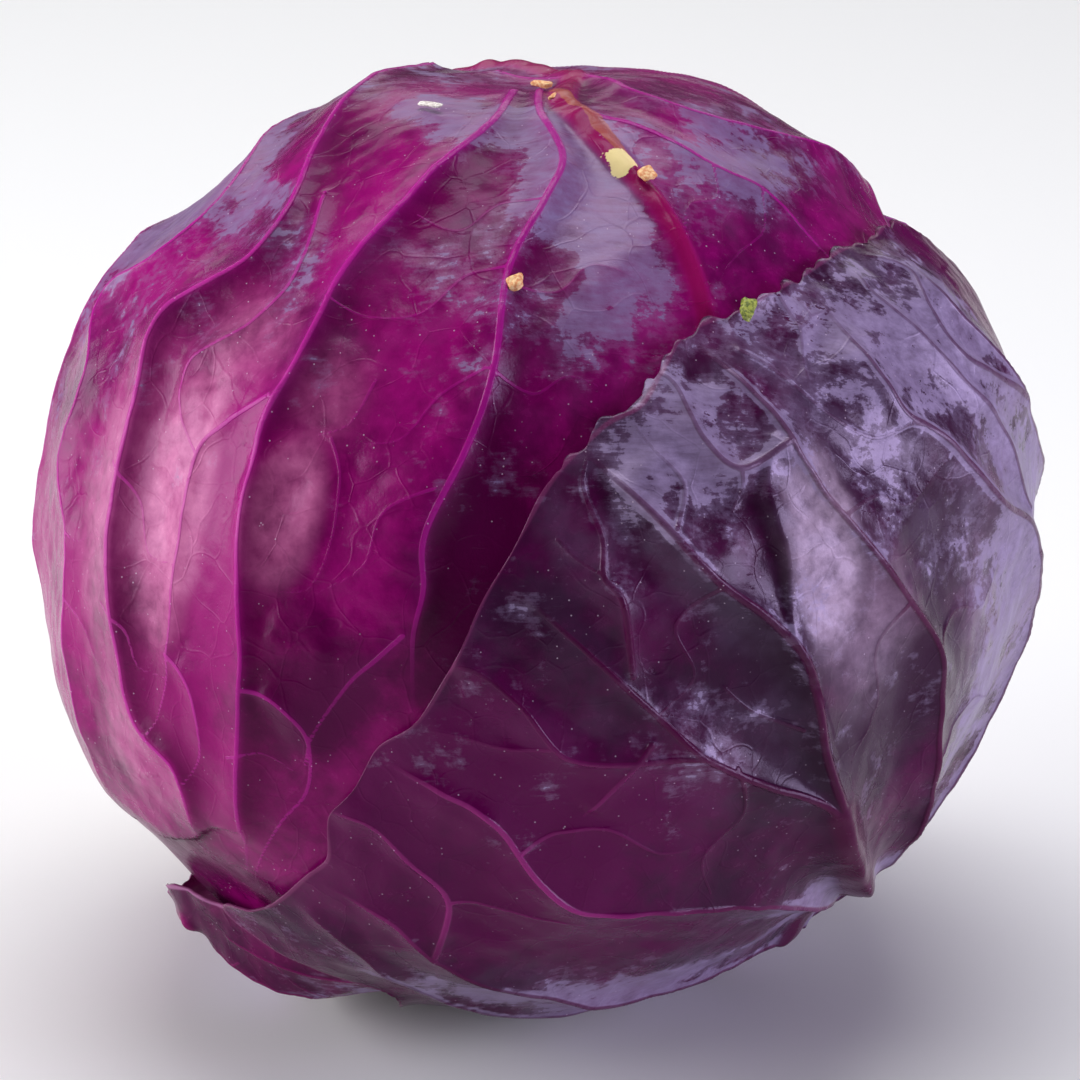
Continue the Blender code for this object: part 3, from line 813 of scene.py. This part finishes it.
def cabbage_skin(name, flesh, deep, dark, pale, rib, lit_rib, stalk, wax, edge,
                 haze=0.2, glow=0.3, gloss=0.25, shine=0.3, beside_ribs=0.0):
    """Red cabbage leaf: a smooth grown skin that shines softly where its matt wax bloom is rubbed off.

    Its colour wanders between flesh and deep. Painted shade darkens it beside folds and under a torn edge,
    and a painted sheen pales some flats.
    rib is the colour of its ribs, lit_rib a painted highlight on them where the flesh is redder, stalk that
    of its midrib, and edge that of its thin rim. wax is the bloom, which lies in streaks and rubbed patches.
    haze is how much wax there is everywhere, glow how far the ribs' colour spreads, partly as a painted lit
    strip, gloss the bare skin's roughness, shine how strongly it reflects, and beside_ribs how much more
    bloom is left along the ribs, out of reach of rubbing.
    """
    material, tree, skin = start_material(name)
    place = node(tree, "TexCoord").outputs["Object"]

    def value(key):
        return node(tree, "Attribute", attribute_name=key).outputs["Fac"]

    def noise(scale, detail, roughness=0.5, where=place):
        inputs = {"Vector": where, "Scale": scale, "Detail": detail, "Roughness": roughness}
        return node(tree, "TexNoise", inputs).outputs["Fac"]

    def add(*values):
        return maths(tree, "ADD", *values)

    def times(*values):
        return maths(tree, "MULTIPLY", *values)

    # colour wanders over 20 mm, with a mottle every 3 mm and a grain every 0.6 mm
    drift, mottle, grain = noise(50, 3), noise(320, 5, 0.6), noise(1600, 2)
    # the table's redder and more violet patches are the flesh's own, except two on the left leaf that are
    # painted shade
    tone = add(add(times(drift, 0.8), times(mottle, 0.35)), times(value("flush_and_shade"), 0.3))
    body = between(tree, ramp(tree, tone, 0.38, 0.78), linear(deep), linear(flesh))
    # painted shade: darkened towards the dark colour on the steep side of the folds and under the torn
    # flap's edge
    body = between(tree, times(value("painted_shade"), 0.75), body, linear(dark))
    # painted sheen: paler pink on the flats that catch the lamps, kept off the painted shade beside the
    # folds
    flats = times(value("pale"), add(1, times(value("painted_shade"), -0.9)))
    cloudy = add(times(drift, 0.8), times(add(mottle, -0.3), 1.8))
    body = between(tree, times(flats, cloudy), body, linear(pale))

    # the net of small veins, cells 9 mm across
    bent = node(tree, "TexNoise", {"Vector": place, "Scale": 110, "Detail": 1}).outputs["Color"]
    pushed = node(tree, "VectorMath", {0: bent, "Scale": 0.006}, operation="SCALE").outputs[0]
    bent_place = node(tree, "VectorMath", {0: place, 1: pushed}, operation="ADD").outputs[0]
    net = node(tree, "TexVoronoi", {"Vector": bent_place, "Scale": 110}, feature="DISTANCE_TO_EDGE")
    net_line = ramp(tree, net.outputs["Distance"], 0.03, 0.0)

    widths_off, midrib, strength = value("rib_widths"), value("midrib"), value("rib_strength")
    rib_line = times(ramp(tree, widths_off, 1.3, 0.8), ramp(tree, strength, 0.0, 0.8))
    # the ribs' colour spread beside them: partly their own colour, partly a painted lit strip on their
    # flanks
    rib_tint_and_sheen = ramp(tree, strength, 0.35, 1.0)
    body = between(tree, times(rib_tint_and_sheen, glow), body, linear(rib))
    body = between(tree, times(rib_line, add(0.35, times(drift, 0.8))), body, linear(rib))
    # painted highlight along the rib lines where the flesh is redder
    painted_rib_highlight = times(times(rib_line, 0.8), ramp(tree, value("flush_and_shade"), 0.0, 0.9))
    body = between(tree, painted_rib_highlight, body, linear(lit_rib))
    body = between(tree, times(midrib, 0.8), body, linear(stalk))

    # wax: a thin haze, and thick bloom where the table has it, rubbed off in patches 12 mm across and by
    # rub marks about 1 mm wide and 8 mm long
    patches = noise(85, 7, 0.66)
    drawn_out = {"Vector": place, "Rotation": (0.2, 0.3, 0.2), "Scale": (0.12, 1, 1)}
    streaks = noise(1000, 4, 0.65, node(tree, "Mapping", drawn_out).outputs[0])
    marks = times(ramp(tree, streaks, 0.6, 0.68), ramp(tree, noise(120, 2), 0.5, 0.62))
    cover = add(value("bloom"), times(add(patches, -0.5), 1.9))
    cover = add(cover, add(times(add(mottle, -0.5), 0.6), times(add(streaks, -0.5), 0.6)))
    cover = add(cover, times(marks, -0.5))
    sheltered = times(ramp(tree, widths_off, 3.0, 1.8), ramp(tree, strength, 0.1, 0.6))
    cover = add(cover, times(times(sheltered, ramp(tree, value("bloom"), 0.02, 0.25)), beside_ribs))
    thick = add(times(ramp(tree, cover, 0.38, 0.45), 0.7), times(ramp(tree, cover, 0.15, 0.4), 0.3))
    powder = add(-0.25, times(add(streaks, mottle), 0.86))
    thin = times(ramp(tree, noise(140, 5), 0.35, 0.7), ramp(tree, value("bloom"), -0.1, 0.4))
    amount = add(times(thick, powder), times(thin, haze))
    amount = times(amount, add(1, times(rib_line, -0.85)))
    amount = times(amount, add(1, times(midrib, -0.9)))
    body = between(tree, amount, body, linear(wax))

    # the midrib pales where it joins the stem
    body = between(tree, times(rib_line, value("pale_base")), body, linear("#d9b9b4"))
    body = between(tree, times(value("pale_base"), 0.45), body, linear("#c79bb0"))

    # a scraped and healed cut: tan cork along the rib and a cream callus
    scraped = ramp(tree, add(value("scrape"), times(add(mottle, -0.5), 1.2)), 0.35, 0.55)
    body = between(tree, times(scraped, 0.7), body, linear("#a85e4a"))
    callus = ramp(tree, add(value("scar"), times(add(mottle, -0.5), 2.2)), 0.42, 0.52)
    callus = times(callus, ramp(tree, value("scar"), 0.02, 0.12))
    body = between(tree, callus, body, linear("#ecd79a"))

    # the rim of the leaf is thin and pale
    rim = ramp(tree, value("from_edge"), 0.6, 0.15)
    body = between(tree, times(rim, 0.55), body, linear(edge))
    body = between(tree, times(value("inner_face"), 0.6), body, linear(flesh))

    # painted sparkle: pale specks a quarter of a millimetre across that stand for glints of light on the
    # wax, thick in some places and few in others
    sparkle_cells = node(tree, "TexVoronoi", {"Vector": place, "Scale": 620, "Randomness": 1}, feature="F1")
    painted_sparkle = ramp(tree, sparkle_cells.outputs["Distance"], 0.1, 0.06)
    painted_sparkle = times(painted_sparkle, ramp(tree, add(times(noise(60, 2), 0.6), times(noise(400, 1), 0.5)), 0.5, 0.62))
    body = between(tree, times(painted_sparkle, 0.45), body, linear("#d9c3d9"))

    tree.links.new(body, skin.inputs["Base Color"])
    rough = add(add(gloss, times(amount, 0.22)), times(add(mottle, -0.5), 0.16))
    rough = add(rough, times(callus, 0.3))
    tree.links.new(rough, skin.inputs["Roughness"])
    skin.inputs["IOR"].default_value = 1.42
    tree.links.new(times(add(0.3, times(amount, 1.6)), shine), skin.inputs["Specular IOR Level"])
    skin.inputs["Specular Tint"].default_value = linear("#e6d2f2")

    # fine relief: soft dimples 20 mm across, the mottle and grain, small veins and ribs, and the rub marks
    height = add(times(net_line, 0.12), times(drift, 3.0))
    height = add(height, times(mottle, 0.5))
    height = add(height, times(grain, 0.07))
    height = add(height, times(rib_line, 0.5))
    height = add(height, times(marks, -0.15))
    bump = node(tree, "Bump", {"Height": height, "Strength": 0.4, "Distance": 0.0006})
    tree.links.new(bump.outputs["Normal"], skin.inputs["Normal"])
    return material


# The skins of the slots: a violet leaf with much bloom, a redder one that shines, and the plainer ones
SKINS = {
    "violet_outer_leaf": dict(
        flesh="#560042", deep="#34102f", dark="#1e0820", pale="#c2a8c4", rib="#50063a", lit_rib="#9c2a7c",
        stalk="#4c0a38", wax="#9280a6", edge="#7c3462", haze=0.2, glow=0.15, shine=0.75, beside_ribs=0.4,
    ),
    "magenta_outer_leaf": dict(
        flesh="#92086a", deep="#560040", dark="#340020", pale="#d884b2", rib="#a81888", lit_rib="#cc52ab",
        stalk="#84063e", wax="#7c6692", edge="#b858a0", haze=0.1, glow=0.5, shine=0.6,
    ),
    "waxy_outer_leaf": dict(
        flesh="#700c52", deep="#400834", dark="#2a0420", pale="#9c5c8c", rib="#80085c", lit_rib="#a43c88",
        stalk="#84105e", wax="#9488b2", edge="#b070a0", haze=0.1, shine=0.4, beside_ribs=0.2,
    ),
    "back_leaf": dict(
        flesh="#7a125c", deep="#410e3c", dark="#2c0628", pale="#9c5c8c", rib="#a4509c", lit_rib="#b060a4",
        stalk="#a0407c", wax="#8078a0", edge="#b070a0", haze=0.15, shine=0.5,
    ),
    "inner_leaf": dict(
        flesh="#861062", deep="#580840", dark="#380424", pale="#9c5c8c", rib="#b85aa4", lit_rib="#b860a4",
        stalk="#b04a88", wax="#867ca4", edge="#c878b0", haze=0.15, shine=0.5,
    ),
}


def round_axis(heights, radii, sides):
    """Points of a body turned round the stem: rings at heights along it, from its inner end outwards."""
    axis = direction(*STEM_DIRECTION)
    east, north = tangent_frame(axis)
    around = np.arange(sides) / sides * 2 * math.pi
    ring = np.cos(around)[:, None] * east + np.sin(around)[:, None] * north
    return CENTRE + heights[..., None] * axis + radii[..., None] * ring[None]


def cut_stem():
    """The stump: a fibrous side with leaf scars, and a sawn face with a woody ring round the pith."""
    sides, side_rings, face_rings = 180, 60, 40
    neck_radius, pith_sink = 11, 0.7
    around = np.arange(sides) / sides * 2 * math.pi
    up = np.linspace(0, 1, side_rings)[:, None]
    lobes = 0.5 * np.sin(5 * around + 0.6) + 0.25 * np.sin(11 * around + 2)
    lobes = lobes + 0.12 * np.sin(29 * around + 1 + 3 * up)
    side_radii = neck_radius + (STEM_RADIUS - neck_radius) * up + lobes * (0.4 + 0.6 * up)
    side_radii = side_radii - 0.8 * np.clip((up - 0.96) / 0.04, 0, 1) ** 2
    side_heights = STEM_INNER_END + (STEM_CUT - STEM_INNER_END) * up + 0 * around
    inwards = np.linspace(1, 0, face_rings + 1)[1:-1, None]
    face_radii = side_radii[-1] * inwards
    woody = 0.35 * np.exp(-(((inwards - 0.74) / 0.07) ** 2)) * (1 + 0.5 * np.sin(23 * around))
    saw_marks = 0.12 * np.sin(face_radii * np.cos(around) * 2.6 + 0.4 * np.sin(face_radii * np.sin(around)))
    pith = pith_sink * np.exp(-((inwards / 0.35) ** 2))
    face_heights = STEM_CUT + woody + saw_marks - pith - 0.4 * inwards**6
    heights = np.concatenate([side_heights, face_heights])
    radii = np.concatenate([side_radii, face_radii])
    points = round_axis(heights, radii, sides)
    rings = len(points)
    ends = CENTRE + np.array([[STEM_INNER_END], [STEM_CUT - pith_sink]]) * direction(*STEM_DIRECTION)
    mesh = mesh_from("cut_stem", np.concatenate([points.reshape(-1, 3), ends]), *turned_faces(rings, sides))
    from_axis = np.append(radii.ravel() / STEM_RADIUS, [0, 0])
    add_value(mesh, "from_axis", from_axis)
    on_face = np.repeat(np.arange(rings) >= side_rings - 1, sides)
    add_value(mesh, "on_cut_face", np.append(on_face, [False, True]))
    return add_piece("cut_stem", mesh, "stem_stump")


def cut_stem_flesh():
    """Cabbage stem, sawn through: matt cream pith, a paler woody ring that looks dry, and a brown rim."""
    material, tree, flesh = start_material("sawn_cabbage_stem")
    place = node(tree, "TexCoord").outputs["Object"]
    out = node(tree, "Attribute", attribute_name="from_axis").outputs["Fac"]
    on_face = node(tree, "Attribute", attribute_name="on_cut_face").outputs["Fac"]
    fibres = {"Vector": place, "Scale": 700, "Detail": 5, "Roughness": 0.6}
    speckle = node(tree, "TexNoise", fibres).outputs["Fac"]
    stain = node(tree, "TexNoise", {"Vector": place, "Scale": 130, "Detail": 4}).outputs["Fac"]
    wobbly = maths(tree, "ADD", out, maths(tree, "MULTIPLY", maths(tree, "SUBTRACT", stain, 0.5), 0.16))
    pith = between(tree, ramp(tree, wobbly, 0.35, 0.62), linear("#cdbf8e"), linear("#d9cfa8"))
    ringed = between(tree, ramp(tree, wobbly, 0.66, 0.7), pith, linear("#efe6c6"))
    rim = between(tree, ramp(tree, wobbly, 0.8, 0.9), ringed, linear("#9a6f6a"))
    bark = between(tree, ramp(tree, stain, 0.35, 0.65), linear("#a8788a"), linear("#cdb79a"))
    colour = between(tree, on_face, bark, rim)
    flecks = maths(tree, "MULTIPLY", ramp(tree, speckle, 0.5, 0.7), 0.4)
    colour = between(tree, flecks, colour, linear("#8a6a48"))
    tree.links.new(colour, flesh.inputs["Base Color"])
    flesh.inputs["Roughness"].default_value = 0.62
    flesh.inputs["IOR"].default_value = 1.4
    bump = node(tree, "Bump", {"Height": speckle, "Strength": 0.5, "Distance": 0.0005})
    tree.links.new(bump.outputs["Normal"], flesh.inputs["Normal"])
    return material


def heart_piece():
    """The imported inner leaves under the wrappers: a round body with a socket for the stem."""
    sides, rings = 220, 110
    axis = direction(*STEM_DIRECTION)
    socket_radius, socket_floor, clearance = 15.5, 49.5, 1.2
    spread = np.linspace(math.pi, 0, rings)[1:, None]
    around = np.arange(sides)[None] / sides * 2 * math.pi
    dirs = spread_from(axis, spread + 0 * around, around + 0 * spread)
    flat = dirs.reshape(-1, 3)
    cover = sum(leaf.cover(flat) for leaf in LEAVES)
    radius = head_radius(flat) - (LEAF_THICKNESS + LEAF_GAP) * cover - clearance
    radius = pressed_flat(radius + 0.5 * wander(flat, 20, 31), flat).reshape(rings - 1, sides)
    off_axis = np.sin(spread) * radius
    in_socket = (off_axis < socket_radius) & (spread < math.pi / 2)
    first_in = np.argmax(in_socket.any(axis=1))
    points = CENTRE + dirs[:first_in] * radius[:first_in, :, None]
    mouth = np.sqrt(np.maximum(radius[first_in] ** 2 - socket_radius**2, 0))
    depths = mouth + (socket_floor - mouth) * np.linspace(0, 1, 12)[:, None]
    wall = round_axis(depths, np.full_like(depths, socket_radius), sides)
    points = np.concatenate([points, wall])
    ends = CENTRE + np.array([[-radius[0].mean()], [socket_floor]]) * axis
    flat_points = np.concatenate([points.reshape(-1, 3), ends])
    mesh = mesh_from("packed_heart", flat_points, *turned_faces(len(points), sides))
    for key in ("rib_widths", "from_edge"):
        add_value(mesh, key, np.full(len(flat_points), WELL_CLEAR))
    return add_piece("packed_heart", mesh, "heart")


# ---------------------------------------------------------------- the studio

def area_light(name, place, aim, size, power, colour="#ffffff"):
    data = bpy.data.lights.new(name, "AREA")
    data.shape = "RECTANGLE"
    data.size, data.size_y = size
    data.energy = power
    data.color = linear(colour)[:3]
    lamp = bpy.data.objects.new(name, data)
    lamp.location = place
    towards = np.array(aim) - np.array(place)
    lamp.rotation_euler = Vector(towards).to_track_quat("-Z", "Y").to_euler()
    bpy.context.scene.collection.objects.link(lamp)


def studio():
    floor_mesh = bpy.data.meshes.new("floor")
    half = 3.0
    floor_mesh.from_pydata([(-half, -half, 0), (half, -half, 0), (half, half, 0), (-half, half, 0)], [],
                           [(0, 1, 2, 3)])
    floor = bpy.data.objects.new("floor", floor_mesh)
    # white paper: matt, so that it shows soft shadows and no reflection
    material, tree, paper = start_material("white_paper_floor")
    paper.inputs["Base Color"].default_value = linear("#f4f4f4")
    paper.inputs["Roughness"].default_value = 0.9
    floor_mesh.materials.append(material)
    bpy.context.scene.collection.objects.link(floor)
    middle = tuple(CENTRE * MM)
    area_light("left_softbox", (-1.35, -0.1, 0.42), middle, (1.3, 0.8), 22)
    area_light("top_softbox", (0.0, 0.14, 1.1), (0, 0.17, 0), (0.9, 0.5), 8.5)
    area_light("backdrop_softbox", (0, 1.25, 0.8), (0, 1.0, 0), (1.8, 0.5), 5)
    area_light("right_softbox", (1.33, -0.38, 0.31), middle, (0.6, 0.6), 13, "#e9e4ff")
    world = bpy.data.worlds.new("soft_white_room")
    world.use_nodes = True
    world.node_tree.nodes["Background"].inputs["Color"].default_value = linear("#e8ebfa")
    world.node_tree.nodes["Background"].inputs["Strength"].default_value = 0.06
    bpy.context.scene.world = world


def camera():
    tilt = math.radians(OUTLINE_TILT)
    towards = np.array([0, -math.cos(tilt), math.sin(tilt)])
    away = 0.7
    data = bpy.data.cameras.new("camera")
    data.lens = 139
    data.sensor_width = 36
    cam = bpy.data.objects.new("camera", data)
    cam.location = CENTRE * MM + towards * away
    cam.rotation_mode = "QUATERNION"
    cam.rotation_quaternion = Vector(-towards).to_track_quat("-Z", "Y")
    bpy.context.scene.collection.objects.link(cam)
    bpy.context.scene.camera = cam


def surface_point(place, lift=0.0):
    """A point of the head's outside at a place, this far clear of it, and the way out there."""
    out = direction(*place)
    return CENTRE + out * (head_radius(out) + lift), out


def chip(name, place, lift, sizes, lean, seed):
    """A small rough lump that lies on the head: its sizes along, across and through, in millimetres."""
    centre, out = surface_point(place, lift)
    east, north = tangent_frame(out)
    along = math.cos(lean) * east + math.sin(lean) * north
    across = np.cross(out, along)
    sides, rings = 36, 18
    polar = np.linspace(0, math.pi, rings + 1)[1:-1, None]
    around = np.arange(sides) / sides * 2 * math.pi
    unit = [np.sin(polar) * np.cos(around), np.sin(polar) * np.sin(around), np.cos(polar) + 0 * around]
    unit = np.stack(unit, axis=-1)
    unit = np.concatenate([unit.reshape(-1, 3), [[0, 0, 1]], [[0, 0, -1]]])
    boxy = unit / np.max(np.abs(unit), axis=1, keepdims=True) ** 0.7
    rough = boxy * (1 + 0.16 * wander(unit, 190, seed) + 0.07 * wander(unit, 70, seed + 1))[:, None]
    points = centre + (rough * np.array(sizes) / 2) @ np.array([along, across, out])
    quads, caps = turned_faces(rings - 1, sides)
    mesh = mesh_from(name, points, quads[:, [0, 3, 2, 1]], caps[:, [0, 2, 1]])
    obj = bpy.data.objects.new(name, mesh)
    bpy.context.scene.collection.objects.link(obj)
    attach(obj, "root")
    return obj


def leaf_scrap_material(name, pale, dark, rough):
    """Dried scrap of leaf or cork: rough and matt to the eye, with a mottle every half millimetre."""
    material, tree, scrap = start_material(name)
    place = node(tree, "TexCoord").outputs["Object"]
    mottle = node(tree, "TexNoise", {"Vector": place, "Scale": 2000, "Detail": 3}).outputs["Fac"]
    colour = between(tree, ramp(tree, mottle, 0.35, 0.65), linear(dark), linear(pale))
    tree.links.new(colour, scrap.inputs["Base Color"])
    scrap.inputs["Roughness"].default_value = rough
    bump = node(tree, "Bump", {"Height": mottle, "Strength": 0.5, "Distance": 0.0003})
    tree.links.new(bump.outputs["Normal"], scrap.inputs["Normal"])
    return material


def small_pieces():
    """Bits that lie on the head: crumbs of dried stem, a white flake of old leaf, and a green leaf tip."""
    cork = leaf_scrap_material("dried_stem_crumb", "#f6cf9a", "#d98a58", 0.7)
    flake = leaf_scrap_material("dry_white_leaf_flake", "#f4efe8", "#c9bcb8", 0.6)
    green = leaf_scrap_material("yellow_green_leaf_tip", "#a8b04a", "#5c6a28", 0.45)
    for name, place, lift, sizes, lean, material, seed in (
        ("stem_crumb", (-4, 48), 1.1, (2.6, 2.3, 1.4), 0.4, cork, 51),
        ("rib_crumb_upper", (2, 85), 0.9, (3.4, 1.2, 1.0), -0.6, cork, 53),
        ("rib_crumb_lower", (9, 80), 1.2, (2.2, 0.9, 0.8), 0.9, cork, 55),
        ("callus_chip", (24.5, 61.5), 1.6, (2.6, 2.6, 1.2), 0.2, cork, 57),
        ("white_flake", (-45, 73), 0.3, (4.6, 1.0, 0.5), 0.1, flake, 59),
        ("green_tip", (31.5, 43), 0.6, (3.6, 2.2, 1.0), 0.9, green, 61),
    ):
        chip(name, place, lift, sizes, lean, seed).data.materials.append(material)


LEAVES = outer_to_inner()


def build():
    camera()
    skins = {slot: cabbage_skin(slot + "_skin", **look) for slot, look in SKINS.items()}
    for place, leaf in enumerate(LEAVES):
        leaf_object(leaf, LEAVES[:place]).data.materials.append(skins[leaf.slot])
    cut_stem().data.materials.append(cut_stem_flesh())
    heart_piece().data.materials.append(skins["inner_leaf"])
    small_pieces()
    studio()


build()
bpy.context.scene.view_settings.view_transform = "Standard"
